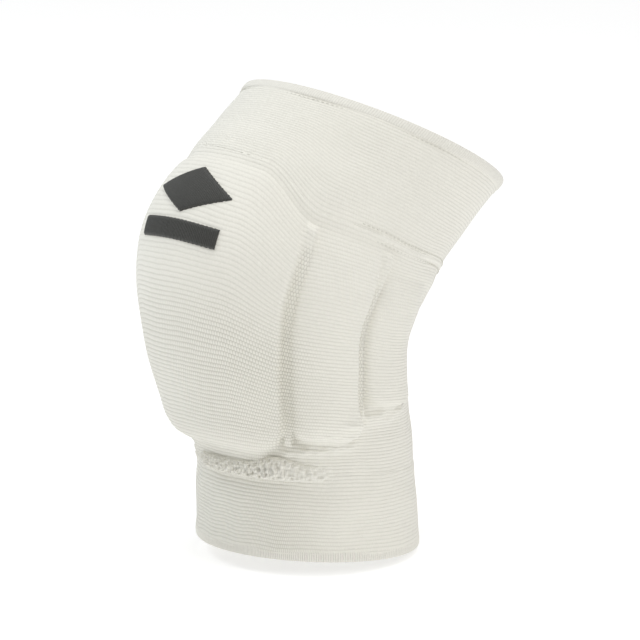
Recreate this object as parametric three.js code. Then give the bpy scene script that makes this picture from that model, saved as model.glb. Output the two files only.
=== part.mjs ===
// A knitted volleyball knee pad, in the shape that it takes on a bent knee.
// A knitted sleeve of two cuffs and a knee panel goes round the leg. Foam pads sit inside the knee panel:
// one over the kneecap and two on each side, with a groove between neighbours. A folded hem ends each cuff,
// and a seam joins each cuff to the knee panel. The lower seam is gathered at the front.
// Millimetres, +Z up. The front of the knee faces -Y. The origin is the middle of the leg at the knee.
import * as THREE from "three";

// Sizes of the leg hollow, side to side and front to back
const CALF_WIDTH = 107;
const CALF_DEPTH = 107;
const KNEE_WIDTH = 110;
const KNEE_DEPTH = 122;
const THIGH_WIDTH = 131;
const THIGH_DEPTH = 137;

// Lengths along the middle of the leg, and the angles in degrees that its bend follows
const CALF_LENGTH = 40;
const KNEE_LENGTH = 132;
const THIGH_LENGTH = 54;
const SHIN_LEAN = 15;
const THIGH_LEAN = 48;
const RIM_TILT = 30;

// Knitted walls, hems and seams
const KNIT_WALL = 2.2;
const HEM_HEIGHT = 6;
const HEM_WALL = 3.4;
const LOWER_SEAM_HEIGHT = 8;
const LOWER_SEAM_WALL = 5;
const UPPER_SEAM_HEIGHT = 4;
const UPPER_SEAM_WALL = 3;
const SEAM_RISE = 6;
const GATHER_DEPTH = 1.6;
const GATHER_SPREAD = 80;
const GAP = 0.3;

// Foam pads: thickness and width round the leg, at the top of the knee panel
const KNEECAP_PAD_THICKNESS = 17;
const SIDE_PAD_THICKNESS = 10;
const REAR_PAD_THICKNESS = 8;
const KNEECAP_PAD_WIDTH = 116;
const SIDE_PAD_WIDTH = 36;
const REAR_PAD_WIDTH = 38;
const GROOVE_WIDTH = 5;
const GROOVE_FLOOR = 4;

// How far in from a pad's borders its foam keeps on rising
const DOME_EDGE = 45;
const SLOPED_EDGE = 16;
const CRISP_EDGE = 6;
const LOWER_EDGE = 9;
const UPPER_EDGE = 32;

// How many degrees the grooves draw in towards the front at the bottom of the knee panel
const DRAW_IN = 15;

// Folds that the bend presses into the knit behind the knee
const FOLD_DEPTH = 2.5;
const FOLD_WIDTH = 110;

// The raised mark on the front, in embroidery thread: a diamond above a bar
const MARK_WALL = 0.8;
const MARK_CLEARANCE = 0.9;
const DIAMOND_WIDTH = 46;
const DIAMOND_HEIGHT = 17;
const BAR_WIDTH = 46;
const BAR_HEIGHT = 7;
const MARK_SPACING = 3;
const MARK_DROP = 9;

const RADIANS = Math.PI / 180;

const CALF = { length: CALF_LENGTH, width: CALF_WIDTH, depth: CALF_DEPTH };
const KNEE = { length: KNEE_LENGTH, width: KNEE_WIDTH, depth: KNEE_DEPTH };
const THIGH = { length: THIGH_LENGTH, width: THIGH_WIDTH, depth: THIGH_DEPTH };

// Sections of the leg hollow from the lower rim to the upper rim. Each lies one step further along the
// middle of the leg, in a direction that leans back by lean, in a plane that falls to the back by tilt.
// Steps, widths and depths are shares of the zone's, and tilts are shares of the rim tilt.
const SECTIONS = [
  { zone: CALF, step: 0, lean: 0, tilt: 0.13, width: 1, depth: 1 },
  { zone: CALF, step: 0.6, lean: -0.1 * SHIN_LEAN, tilt: 0.13, width: 1, depth: 1 },
  { zone: CALF, step: 0.4, lean: -0.2 * SHIN_LEAN, tilt: 0.15, width: 0.97, depth: 0.98 },
  { zone: KNEE, step: 0.16, lean: -0.3 * SHIN_LEAN, tilt: 0.2, width: 0.93, depth: 0.88 },
  { zone: KNEE, step: 0.26, lean: -SHIN_LEAN, tilt: 0.35, width: 0.96, depth: 0.93 },
  { zone: KNEE, step: 0.2, lean: -0.3 * SHIN_LEAN, tilt: 0.55, width: 1, depth: 1, atKnee: true },
  { zone: KNEE, step: 0.17, lean: 0.42 * THIGH_LEAN, tilt: 0.76, width: 1.06, depth: 1.09 },
  { zone: KNEE, step: 0.21, lean: 0.5 * THIGH_LEAN, tilt: 1, width: 1.13, depth: 1.14 },
  { zone: THIGH, step: 0.45, lean: THIGH_LEAN, tilt: 1, width: 0.97, depth: 0.985 },
  { zone: THIGH, step: 0.55, lean: 1.04 * THIGH_LEAN, tilt: 0.93, width: 1, depth: 0.98 },
];

// The line of the upper seam round the leg, in half turns from the front, and how far it rises.
// It goes over the top of the kneecap pad and dips at the grooves behind it.
const SEAM_LINE = [
  { round: 0, rise: 1 },
  { round: 0.13, rise: 0.9 },
  { round: 0.3, rise: -1.3 },
  { round: 0.5, rise: -1 },
  { round: 0.75, rise: 0 },
  { round: 1, rise: 0 },
];

// Folds behind the knee, in shares of the knee panel's height
const FOLDS = [
  { at: 0.3, reach: 0.11, rise: 0.6 },
  { at: 0.56, reach: 0.14, rise: 1 },
];

// The pads on the +X side, from the front to the back. Rows are those of the knee panel, borders are
// shares of the foam's thickness, and edges say how far in from a border it keeps on rising.
const KNEE_ROWS = 18;
const KNEECAP_PAD = {
  width: KNEECAP_PAD_WIDTH,
  thickness: KNEECAP_PAD_THICKNESS,
  front: { border: 0.55, edge: DOME_EDGE },
  back: { border: 0.55, edge: DOME_EDGE },
  low: { border: 0.6, edge: LOWER_EDGE },
  high: { border: 0.1, edge: UPPER_EDGE },
  lowRow: 0.5,
  highRow: 17.5,
  columns: 14,
};
const SIDE_PAD = {
  width: SIDE_PAD_WIDTH,
  thickness: SIDE_PAD_THICKNESS,
  front: { border: 0.5, edge: SLOPED_EDGE },
  back: { border: 0.7, edge: CRISP_EDGE },
  low: { border: 0.5, edge: LOWER_EDGE },
  high: { border: 0.1, edge: UPPER_EDGE },
  lowRow: 2,
  highRow: 17.5,
  columns: 5,
};
const REAR_PAD = {
  width: REAR_PAD_WIDTH,
  thickness: REAR_PAD_THICKNESS,
  front: { border: 0.5, edge: SLOPED_EDGE },
  back: { border: 0.3, edge: SLOPED_EDGE },
  low: { border: 0.4, edge: LOWER_EDGE },
  high: { border: 0.1, edge: UPPER_EDGE },
  lowRow: 5,
  highRow: 16,
  columns: 5,
};
const BACK_COLUMNS = 8;
const CUFF_ROWS = 3;
const MARK_ROWS = 4;
const MARK_COLUMNS = 6;
const GATHER_COLUMNS = 44;
const PLAIN_COLUMNS = 16;

// Each pad's borders as angles round the leg from the front, in radians
const PAD_RADIUS = (KNEE_WIDTH + KNEE_DEPTH) / 4 + KNEECAP_PAD_THICKNESS / 2;
const GROOVE_ANGLE = GROOVE_WIDTH / PAD_RADIUS;
KNEECAP_PAD.from = -KNEECAP_PAD.width / 2 / PAD_RADIUS;
KNEECAP_PAD.to = -KNEECAP_PAD.from;
SIDE_PAD.from = KNEECAP_PAD.to + GROOVE_ANGLE;
SIDE_PAD.to = SIDE_PAD.from + SIDE_PAD.width / PAD_RADIUS;
REAR_PAD.from = SIDE_PAD.to + GROOVE_ANGLE;
REAR_PAD.to = REAR_PAD.from + REAR_PAD.width / PAD_RADIUS;
const PADS = [KNEECAP_PAD, SIDE_PAD, REAR_PAD];

// The middle of the leg and the half sizes and tilt of its sections, as smooth curves through the table
const distances = [];
const middles = [];
const girths = [];
const kneeMiddle = new THREE.Vector3();
const middle = new THREE.Vector3();
let along = 0;
for (const { zone, step, lean, tilt, width, depth, atKnee } of SECTIONS) {
  along += step * zone.length;
  middle.y += step * zone.length * Math.sin(lean * RADIANS);
  middle.z += step * zone.length * Math.cos(lean * RADIANS);
  distances.push(along);
  middles.push(middle.clone());
  girths.push(new THREE.Vector3((width * zone.width) / 2, (depth * zone.depth) / 2, tilt * RIM_TILT * RADIANS));
  if (atKnee) kneeMiddle.copy(middle);
}
for (const point of middles) point.sub(kneeMiddle);
const middleCurve = new THREE.CatmullRomCurve3(middles);
const girthCurve = new THREE.CatmullRomCurve3(girths);
const SLEEVE_LENGTH = CALF_LENGTH + KNEE_LENGTH + THIGH_LENGTH;

function sectionAt(distance) {
  let row = 0;
  while (row < distances.length - 2 && distance > distances[row + 1]) row += 1;
  const share = (distance - distances[row]) / (distances[row + 1] - distances[row]);
  const t = THREE.MathUtils.clamp((row + share) / (distances.length - 1), 0, 1);
  const girth = girthCurve.getPoint(t);
  return { middle: middleCurve.getPoint(t), halfWidth: girth.x, halfDepth: girth.y, tilt: girth.z };
}

// How much nearer to the front a column lies low on the knee panel than at its top
function drawIn(distance, column) {
  const below = THREE.MathUtils.clamp((CALF_LENGTH + KNEE_LENGTH - distance) / KNEE_LENGTH, 0, 1);
  const most = 1.3;
  return (DRAW_IN * RADIANS * below ** 2 * Math.sin(column) * (1 + Math.cos(column))) / most;
}

// A point that lies a height above the leg, square to the section's outline and in its plane
function pointAt(distance, column, height) {
  const { middle, halfWidth, halfDepth, tilt } = sectionAt(distance);
  const angle = column - drawIn(distance, column);
  const outwards = new THREE.Vector2(Math.sin(angle) / halfWidth, -Math.cos(angle) / halfDepth).normalize();
  const across = halfWidth * Math.sin(angle) + height * outwards.x;
  const backwards = -halfDepth * Math.cos(angle) + height * outwards.y;
  return new THREE.Vector3(
    across,
    middle.y + backwards * Math.cos(tilt),
    middle.z - backwards * Math.sin(tilt),
  );
}

function seamRise(column) {
  const round = Math.abs(column) / Math.PI;
  let row = 0;
  while (row < SEAM_LINE.length - 2 && round > SEAM_LINE[row + 1].round) row += 1;
  const before = SEAM_LINE[row];
  const after = SEAM_LINE[row + 1];
  const share = THREE.MathUtils.smoothstep(round, before.round, after.round);
  return SEAM_RISE * THREE.MathUtils.lerp(before.rise, after.rise, share);
}

// Where each piece of the sleeve starts and ends along the leg, at a column
const upperSeamAt = (column) => CALF_LENGTH + KNEE_LENGTH - UPPER_SEAM_HEIGHT + seamRise(column);
const CALF_HEM = { from: () => 0, to: () => HEM_HEIGHT };
const CALF_CUFF = { from: () => HEM_HEIGHT + GAP, to: () => CALF_LENGTH - GAP };
const LOWER_SEAM = { from: () => CALF_LENGTH, to: () => CALF_LENGTH + LOWER_SEAM_HEIGHT };
const KNEE_PANEL = {
  from: () => CALF_LENGTH + LOWER_SEAM_HEIGHT + GAP,
  to: (column) => upperSeamAt(column) - GAP,
};
const UPPER_SEAM = { from: upperSeamAt, to: (column) => upperSeamAt(column) + UPPER_SEAM_HEIGHT };
const THIGH_CUFF = {
  from: (column) => UPPER_SEAM.to(column) + GAP,
  to: () => SLEEVE_LENGTH - HEM_HEIGHT - GAP,
};
const THIGH_HEM = { from: () => SLEEVE_LENGTH - HEM_HEIGHT, to: () => SLEEVE_LENGTH };

function distanceIn(zone, share, column) {
  return THREE.MathUtils.lerp(zone.from(column), zone.to(column), share);
}

// A foam edge: its share of full thickness at a distance in from the border, rounded like a quarter circle
function edgeShare({ border, edge }, inside) {
  const short = 1 - THREE.MathUtils.clamp(inside / edge, 0, 1);
  return border + (1 - border) * Math.sqrt(1 - short * short);
}

// The same, but as an even taper
function taperShare({ border, edge }, inside) {
  return border + (1 - border) * Math.sin((THREE.MathUtils.clamp(inside / edge, 0, 1) * Math.PI) / 2);
}

const ROW_HEIGHT = (KNEE_LENGTH - LOWER_SEAM_HEIGHT - UPPER_SEAM_HEIGHT) / KNEE_ROWS;
const roundFrom = (pad, column) => (pad === KNEECAP_PAD ? column : Math.abs(column));

// The height of a pad's foam above the leg, at a row of the knee panel and a column of that pad
function foamHeight(pad, row, column) {
  const round = roundFrom(pad, column);
  return (
    pad.thickness *
    edgeShare(pad.front, (round - pad.from) * PAD_RADIUS) *
    edgeShare(pad.back, (pad.to - round) * PAD_RADIUS) *
    edgeShare(pad.low, (row - pad.lowRow) * ROW_HEIGHT) *
    taperShare(pad.high, (pad.highRow - row) * ROW_HEIGHT)
  );
}

function liesOn(pad, row, column) {
  const round = roundFrom(pad, column);
  const slack = 1e-6;
  const inColumns = round > pad.from - slack && round < pad.to + slack;
  return inColumns && row > pad.lowRow - slack && row < pad.highRow + slack;
}

// How far the folds behind the knee lift the knit off the leg
function foldHeight(row, column) {
  const behind = (Math.PI - Math.abs(column)) * PAD_RADIUS;
  const fade = THREE.MathUtils.smoothstep(FOLD_WIDTH / 2 - behind, 0, FOLD_WIDTH / 4);
  let lift = 0;
  for (const { at, reach, rise } of FOLDS) {
    const away = Math.min(1, Math.abs(row / KNEE_ROWS - at) / reach);
    lift += rise * (0.5 + 0.5 * Math.cos(away * Math.PI));
  }
  return FOLD_DEPTH * lift * fade;
}

// The height of the knee panel's inner side above the leg. Between two pads it hangs in a groove.
function skinHeight(row, column) {
  const pad = PADS.find((candidate) => liesOn(candidate, row, column));
  if (pad) return foamHeight(pad, row, column) + GAP;
  const inGroove = Math.abs(column) < REAR_PAD.from && row > SIDE_PAD.lowRow && row < SIDE_PAD.highRow - 1;
  return inGroove ? GROOVE_FLOOR : foldHeight(row, column);
}

// Numbers spread evenly from one to another
function spaced(from, to, steps) {
  return Array.from({ length: steps + 1 }, (_, i) => from + ((to - from) * i) / steps);
}

const padColumns = (pad) => spaced(pad.from, pad.to, pad.columns);
const mirror = (columns) => columns.map((column) => -column).reverse();
const withinHalfTurn = (column) => (column > Math.PI ? column - 2 * Math.PI : column);

// The knee panel has a column on each pad's borders and one down the middle of each groove.
function kneeColumns() {
  const half = [
    ...padColumns(KNEECAP_PAD).slice(KNEECAP_PAD.columns / 2),
    KNEECAP_PAD.to + GROOVE_ANGLE / 2,
    ...padColumns(SIDE_PAD),
    SIDE_PAD.to + GROOVE_ANGLE / 2,
    ...padColumns(REAR_PAD),
  ];
  const behind = spaced(REAR_PAD.to, 2 * Math.PI - REAR_PAD.to, BACK_COLUMNS).slice(1, -1);
  return [...half, ...behind.map(withinHalfTurn), ...mirror(half.slice(1))];
}

const COLUMNS = kneeColumns();
const GATHER_ANGLE = GATHER_SPREAD * RADIANS;
const GATHERED_COLUMNS = [
  ...spaced(-GATHER_ANGLE, GATHER_ANGLE, GATHER_COLUMNS),
  ...spaced(GATHER_ANGLE, 2 * Math.PI - GATHER_ANGLE, PLAIN_COLUMNS).slice(1, -1).map(withinHalfTurn),
];

// The rows of a pad and of the knee panel: whole ones, and those on which a pad starts or ends
function rowsBetween(low, high) {
  const ends = [low, high, KNEECAP_PAD.lowRow, KNEECAP_PAD.highRow];
  const rows = [...new Set([...spaced(0, KNEE_ROWS, KNEE_ROWS), ...ends])];
  return rows.filter((row) => row >= low && row <= high).sort((a, b) => a - b);
}

const knit = new THREE.MeshStandardMaterial({ color: 0xe8e7e1, roughness: 0.95, metalness: 0 });
const foamCover = new THREE.MeshStandardMaterial({ color: 0xe2e1db, roughness: 0.95, metalness: 0 });
const thread = new THREE.MeshStandardMaterial({ color: 0x3a3b38, roughness: 0.6, metalness: 0 });

const part = new THREE.Group();

// The solid between two grids of points, row by row. A grid that goes round the leg has no side borders.
function addPiece(name, outside, inside, goesRound, material) {
  const rows = outside.length;
  const columns = outside[0].length;
  const outer = (row, column) => row * columns + (column % columns);
  const inner = (row, column) => rows * columns + outer(row, column);
  const faces = [];
  const addQuad = (a, b, c, d) => faces.push(a, b, c, a, c, d);
  for (let column = 0; column < (goesRound ? columns : columns - 1); column += 1) {
    const next = column + 1;
    for (let row = 0; row < rows - 1; row += 1) {
      addQuad(outer(row, column), outer(row, next), outer(row + 1, next), outer(row + 1, column));
      addQuad(inner(row + 1, next), inner(row, next), inner(row, column), inner(row + 1, column));
    }
    addQuad(inner(0, column), inner(0, next), outer(0, next), outer(0, column));
    addQuad(outer(rows - 1, column), outer(rows - 1, next), inner(rows - 1, next), inner(rows - 1, column));
  }
  if (!goesRound) {
    const last = columns - 1;
    for (let row = 0; row < rows - 1; row += 1) {
      addQuad(inner(row, 0), outer(row, 0), outer(row + 1, 0), inner(row + 1, 0));
      addQuad(outer(row, last), inner(row, last), inner(row + 1, last), outer(row + 1, last));
    }
  }
  const geometry = new THREE.BufferGeometry().setFromPoints([...outside.flat(), ...inside.flat()]);
  geometry.setIndex(faces);
  geometry.computeVertexNormals();
  const mesh = new THREE.Mesh(geometry, material);
  mesh.name = name;
  part.add(mesh);
}

// A knitted wall round the leg, over whatever lies inside it
function addWall(name, zone, rows, innerHeight) {
  const lastRow = rows[rows.length - 1];
  const grid = (wall) =>
    rows.map((row) =>
      COLUMNS.map((column) => {
        const distance = distanceIn(zone, row / lastRow, column);
        return pointAt(distance, column, innerHeight(row, column) + wall);
      }),
    );
  addPiece(name, grid(KNIT_WALL), grid(0), true, knit);
}

// The rounded outside of a hem or a seam, in shares of its height and wall
const BAND_PROFILE = [
  { up: 0, out: 0.55 },
  { up: 0.25, out: 1 },
  { up: 0.75, out: 1 },
  { up: 1, out: 0.55 },
];

function addBand(name, zone, columns, wallAt) {
  const grid = (wallShare) =>
    BAND_PROFILE.map(({ up, out }) =>
      columns.map((column) => pointAt(distanceIn(zone, up, column), column, wallShare * out * wallAt(column))),
    );
  addPiece(name, grid(1), grid(0), true, knit);
}

// Gathers are small ruffles in the front of the lower seam, which fade out towards the sides.
function gatheredWall(column) {
  const swell = Math.sqrt(Math.max(0, 1 - Math.abs(column) / GATHER_ANGLE));
  const ruffle = Math.cos((Math.PI * column * GATHER_COLUMNS) / (2 * GATHER_ANGLE));
  return KNIT_WALL + (LOWER_SEAM_WALL - KNIT_WALL + (GATHER_DEPTH / 2) * ruffle) * swell;
}

function addPad(name, pad, columns) {
  const rows = rowsBetween(pad.lowRow, pad.highRow);
  const grid = (heightAt) =>
    rows.map((row) =>
      columns.map((column) => {
        const distance = distanceIn(KNEE_PANEL, row / KNEE_ROWS, column);
        return pointAt(distance, column, heightAt(pad, row, column));
      }),
    );
  addPiece(name, grid(foamHeight), grid(() => 0), false, foamCover);
}

// A flat shape of thread on the front of the knee panel. widthAt is its half width at -1 to 1 of its height.
function addMark(name, top, height, widthAt) {
  const grid = (lift) =>
    spaced(-1, 1, MARK_ROWS).map((share) => {
      const row = (top + ((share - 1) * height) / 2) / ROW_HEIGHT;
      const halfAngle = widthAt(share) / PAD_RADIUS;
      return spaced(-halfAngle, halfAngle, MARK_COLUMNS).map((column) => {
        const distance = distanceIn(KNEE_PANEL, row / KNEE_ROWS, column);
        return pointAt(distance, column, skinHeight(row, column) + KNIT_WALL + lift);
      });
    });
  addPiece(name, grid(MARK_CLEARANCE + MARK_WALL), grid(MARK_CLEARANCE), false, thread);
}

const cuffRows = spaced(0, CUFF_ROWS, CUFF_ROWS);

addBand("calf_hem", CALF_HEM, COLUMNS, () => HEM_WALL);
addWall("calf_cuff", CALF_CUFF, cuffRows, () => 0);
addBand("lower_seam", LOWER_SEAM, GATHERED_COLUMNS, gatheredWall);
addWall("knee_panel", KNEE_PANEL, rowsBetween(0, KNEE_ROWS), skinHeight);
addBand("upper_seam", UPPER_SEAM, COLUMNS, () => UPPER_SEAM_WALL);
addWall("thigh_cuff", THIGH_CUFF, cuffRows, () => 0);
addBand("thigh_hem", THIGH_HEM, COLUMNS, () => HEM_WALL);

addPad("kneecap_pad", KNEECAP_PAD, padColumns(KNEECAP_PAD));
addPad("left_side_pad", SIDE_PAD, padColumns(SIDE_PAD));
addPad("right_side_pad", SIDE_PAD, mirror(padColumns(SIDE_PAD)));
addPad("left_rear_pad", REAR_PAD, padColumns(REAR_PAD));
addPad("right_rear_pad", REAR_PAD, mirror(padColumns(REAR_PAD)));

const markTop = KNEE_ROWS * ROW_HEIGHT - MARK_DROP;
addMark("front_diamond", markTop, DIAMOND_HEIGHT, (share) => (DIAMOND_WIDTH / 2) * (1.04 - Math.abs(share)));
addMark("front_bar", markTop - DIAMOND_HEIGHT - MARK_SPACING, BAR_HEIGHT, () => BAR_WIDTH / 2);

export default part;
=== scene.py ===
# %% [markdown]
# # A knitted volleyball knee pad
# The real thing is a knitted sleeve with foam pads sewn inside it, shown in the shape that it has on a bent
# leg. The frame holds its plain solids at their true size and place. Each soft piece is made again here
# with its knit, folds, gathers and stitches, and then stands for its plain solid.

# %% Load the frame
import math
import bpy
import numpy as np
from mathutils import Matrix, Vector


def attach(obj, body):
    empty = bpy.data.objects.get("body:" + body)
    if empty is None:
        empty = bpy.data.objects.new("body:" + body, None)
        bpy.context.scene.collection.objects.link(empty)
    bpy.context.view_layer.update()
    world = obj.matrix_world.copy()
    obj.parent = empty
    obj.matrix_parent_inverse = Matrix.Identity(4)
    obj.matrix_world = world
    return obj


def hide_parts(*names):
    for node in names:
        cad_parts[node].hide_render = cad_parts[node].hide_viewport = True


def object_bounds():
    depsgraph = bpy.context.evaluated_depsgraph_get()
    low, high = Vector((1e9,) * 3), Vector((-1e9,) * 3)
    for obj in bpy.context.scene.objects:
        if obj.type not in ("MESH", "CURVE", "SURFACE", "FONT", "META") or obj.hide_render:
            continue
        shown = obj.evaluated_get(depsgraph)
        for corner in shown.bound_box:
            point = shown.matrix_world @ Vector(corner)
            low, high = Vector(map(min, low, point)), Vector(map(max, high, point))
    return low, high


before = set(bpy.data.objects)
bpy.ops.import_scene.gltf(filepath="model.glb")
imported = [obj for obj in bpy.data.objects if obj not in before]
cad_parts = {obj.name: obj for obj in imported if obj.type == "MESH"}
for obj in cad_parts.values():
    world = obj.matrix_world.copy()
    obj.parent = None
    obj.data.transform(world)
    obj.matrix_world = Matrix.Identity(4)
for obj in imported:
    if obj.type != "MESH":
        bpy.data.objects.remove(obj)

cad_box = [list(corner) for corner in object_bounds()]
MM = 0.001
print("plain solids:", sorted(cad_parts))

# %% [markdown]
# ## The shape of the leg
# Every piece of a sleeve follows the leg under it, so one description of the leg serves them all. The leg
# is a row of oval sections, each with its own place, size and tilt, and a smooth curve runs through them. A
# place on the sleeve is then three numbers: how far along the leg, how far round it, and how high above its
# skin.

# %% Sections of the leg, in millimetres and degrees
TURN = 2 * math.pi
CALF_LENGTH, KNEE_LENGTH, THIGH_LENGTH = 40, 132, 54
SLEEVE_LENGTH = CALF_LENGTH + KNEE_LENGTH + THIGH_LENGTH
# the length, width and depth of each zone of the leg
CALF = (CALF_LENGTH, 107, 107)
KNEE = (KNEE_LENGTH, 110, 122)
THIGH = (THIGH_LENGTH, 131, 137)
SHIN_LEAN, THIGH_LEAN, RIM_TILT = 15, 48, 30
# a section's zone, its step as a share of the zone's length, its lean, its share of the rim's tilt, and
# its shares of the zone's width and depth
SECTIONS = [
    (CALF, 0, 0, 0.13, 1, 1),
    (CALF, 0.6, -0.1 * SHIN_LEAN, 0.13, 1, 1),
    (CALF, 0.4, -0.2 * SHIN_LEAN, 0.15, 0.97, 0.98),
    (KNEE, 0.16, -0.3 * SHIN_LEAN, 0.2, 0.93, 0.88),
    (KNEE, 0.26, -SHIN_LEAN, 0.35, 0.96, 0.93),
    (KNEE, 0.2, -0.3 * SHIN_LEAN, 0.55, 1, 1),
    (KNEE, 0.17, 0.42 * THIGH_LEAN, 0.76, 1.06, 1.09),
    (KNEE, 0.21, 0.5 * THIGH_LEAN, 1, 1.13, 1.14),
    (THIGH, 0.45, THIGH_LEAN, 1, 0.97, 0.985),
    (THIGH, 0.55, 1.04 * THIGH_LEAN, 0.93, 1, 0.98),
]
# the frame's zero is in the middle of this section
AT_KNEE = 5
SAME_PLACE = 1e-4


def smooth_curve(points, shares):
    points = np.vstack([2 * points[0] - points[1], points, 2 * points[-1] - points[-2]])
    place = np.clip(shares, 0, 1) * (len(points) - 3)
    first = np.minimum(place.astype(int), len(points) - 4)
    way = (place - first)[:, None]
    p0, p1, p2, p3 = (points[first + k] for k in range(4))
    pairs = ((p0, p1), (p1, p2), (p2, p3))
    d0, d1, d2 = (np.sqrt(np.linalg.norm(b - a, axis=1))[:, None] for a, b in pairs)
    d1 = np.where(d1 < SAME_PLACE, 1.0, d1)
    d0, d2 = np.where(d0 < SAME_PLACE, d1, d0), np.where(d2 < SAME_PLACE, d1, d2)
    out = ((p1 - p0) / d0 - (p2 - p0) / (d0 + d1) + (p2 - p1) / d1) * d1
    back = ((p2 - p1) / d1 - (p3 - p1) / (d1 + d2) + (p3 - p2) / d2) * d1
    bend = 3 * (p2 - p1) - 2 * out - back
    twist = 2 * (p1 - p2) + out + back
    return p1 + out * way + bend * way**2 + twist * way**3


steps = np.array([zone[0] * step for zone, step, *_ in SECTIONS])
leans = np.radians([section[2] for section in SECTIONS])
distances = np.cumsum(steps)
middles = np.cumsum(np.stack([0 * steps, steps * np.sin(leans), steps * np.cos(leans)], 1), 0)
middles -= middles[AT_KNEE]
girths = np.array([
    (width * zone[1] / 2, depth * zone[2] / 2, math.radians(tilt * RIM_TILT))
    for zone, _, _, tilt, width, depth in SECTIONS
])
# the leg's middle, half widths and tilt, every quarter of a millimetre along it
RUN = np.linspace(0, SLEEVE_LENGTH, 4 * SLEEVE_LENGTH + 1)
shares = np.interp(RUN, distances, np.linspace(0, 1, len(SECTIONS)))
LEG = np.hstack([smooth_curve(middles, shares)[:, 1:], smooth_curve(girths, shares)]).T
print("sleeve along the middle of the leg:", SLEEVE_LENGTH, "mm")

# %% A place on the leg
DRAW_IN = math.radians(15)
# sin(x) * (1 + cos(x)) is never more than this
PEAK = 1.3


def draw_in(distance, column):
    """Down the leg the columns are drawn round towards the front, most of all at the sides."""
    below = np.clip((CALF_LENGTH + KNEE_LENGTH - distance) / KNEE_LENGTH, 0, 1)
    return DRAW_IN * below**2 * np.sin(column) * (1 + np.cos(column)) / PEAK


def on_leg(distance, column, height):
    distance, column, height = np.broadcast_arrays(distance, column, height)
    y, z, half_width, half_depth, tilt = (np.interp(distance, RUN, values) for values in LEG)
    angle = column - draw_in(distance, column)
    out_x, out_y = np.sin(angle) / half_width, -np.cos(angle) / half_depth
    size = np.hypot(out_x, out_y)
    across = half_width * np.sin(angle) + height * out_x / size
    backwards = -half_depth * np.cos(angle) + height * out_y / size
    return np.stack([across, y + backwards * np.cos(tilt), z - backwards * np.sin(tilt)], -1)


print("front of the knee:", on_leg(CALF_LENGTH + 0.62 * KNEE_LENGTH, 0, 0).round(1), "mm")

# %% [markdown]
# ## Where the pieces meet
# The upper seam isn't level. It climbs over the top of the kneecap pad and dips at the sides, so its height
# is a short table round the leg, eased between its points.

# %% The upper seam's line and the zones of the sleeve
UPPER_SEAM_HEIGHT, LOWER_SEAM_HEIGHT, HEM_HEIGHT = 4, 8, 6
GAP, KNIT_WALL = 0.3, 2.2
SEAM_RISE = 6
# share of the way from the front to the back, and share of the rise there
SEAM_LINE = [(0, 1), (0.13, 0.9), (0.3, -1.3), (0.5, -1), (0.75, 0), (1, 0)]


def ease(value, low, high):
    """0 up to low, 1 from high on, and a soft change between them."""
    share = np.clip((value - low) / (high - low), 0, 1)
    return share * share * (3 - 2 * share)


def from_front(column):
    """The angle from the front, the same on both sides."""
    return np.abs(np.mod(column + math.pi, TURN) - math.pi)


def seam_rise(column):
    around = from_front(column) / math.pi
    rise = np.full_like(around, SEAM_LINE[0][1], dtype=float)
    for (low, before), (high, after) in zip(SEAM_LINE, SEAM_LINE[1:]):
        rise = rise + (after - before) * ease(around, low, high)
    return SEAM_RISE * rise


def upper_seam_at(column):
    return CALF_LENGTH + KNEE_LENGTH - UPPER_SEAM_HEIGHT + seam_rise(column)


PANEL_LOW = CALF_LENGTH + LOWER_SEAM_HEIGHT + GAP
print("upper seam, front and side:", upper_seam_at(np.array([0.0, 1.2])).round(1), "mm along the leg")

# %% [markdown]
# ## The form over the pads
# The knit has no form of its own over the knee: it lies on the foam pads. Each pad is thick in its middle
# and thinner at its borders, and the knit sinks into a groove between two pads. The heights go into one
# table, as a sculptor would block them out, and a blur then rounds off what thick knit can't follow.

# %% Heights of the foam
THICKEST = 17
PAD_RADIUS = (KNEE[1] + KNEE[2]) / 4 + THICKEST / 2
GROOVE = 5 / PAD_RADIUS
KNEE_ROWS = 18
ROW_HEIGHT = (KNEE_LENGTH - LOWER_SEAM_HEIGHT - UPPER_SEAM_HEIGHT) / KNEE_ROWS
DOME, SLOPED, CRISP, LOWER, UPPER = 45, 16, 6, 9, 32
CORNER_EDGE = 1.6
# A border has the share of the thickness that is left there, and how far in the pad has all of it. The rows
# are those that it covers, corner and fade shape its lower corners, and the knit makes a lip behind it.
KNEECAP_PAD = dict(
    thick=THICKEST, width=116, front=(0.55, DOME), back=(0.55, DOME), low=(0.38, 13), high=(0.1, UPPER),
    rows=(0.9, 17.5), corner=16, fade=1.6, lip=1.6,
)
SIDE_PAD = dict(
    thick=10, width=36, front=(0.5, SLOPED), back=(0.7, CRISP), low=(0.38, LOWER), high=(0.1, UPPER),
    rows=(2, 17.5), corner=9, fade=2, lip=0.5,
)
REAR_PAD = dict(
    thick=8, width=38, front=(0.5, SLOPED), back=(0.3, SLOPED), low=(0.4, LOWER), high=(0.1, UPPER),
    rows=(5, 16), corner=9, fade=5, lip=0.5,
)
KNEECAP_PAD["to"] = KNEECAP_PAD["width"] / 2 / PAD_RADIUS
KNEECAP_PAD["from"] = -KNEECAP_PAD["to"]
for before, pad in ((KNEECAP_PAD, SIDE_PAD), (SIDE_PAD, REAR_PAD)):
    pad["from"] = before["to"] + GROOVE
    pad["to"] = pad["from"] + pad["width"] / PAD_RADIUS


def edge_share(border, inside):
    short = 1 - np.clip(inside / border[1], 0, 1)
    return border[0] + (1 - border[0]) * np.sqrt(1 - short * short)


def taper_share(border, inside):
    return border[0] + (1 - border[0]) * np.sin(np.clip(inside / border[1], 0, 1) * math.pi / 2)


def round_leg(pad, column):
    """The kneecap pad covers the front once, and the other pads lie on both sides."""
    return column if pad is KNEECAP_PAD else np.abs(column)


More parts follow.
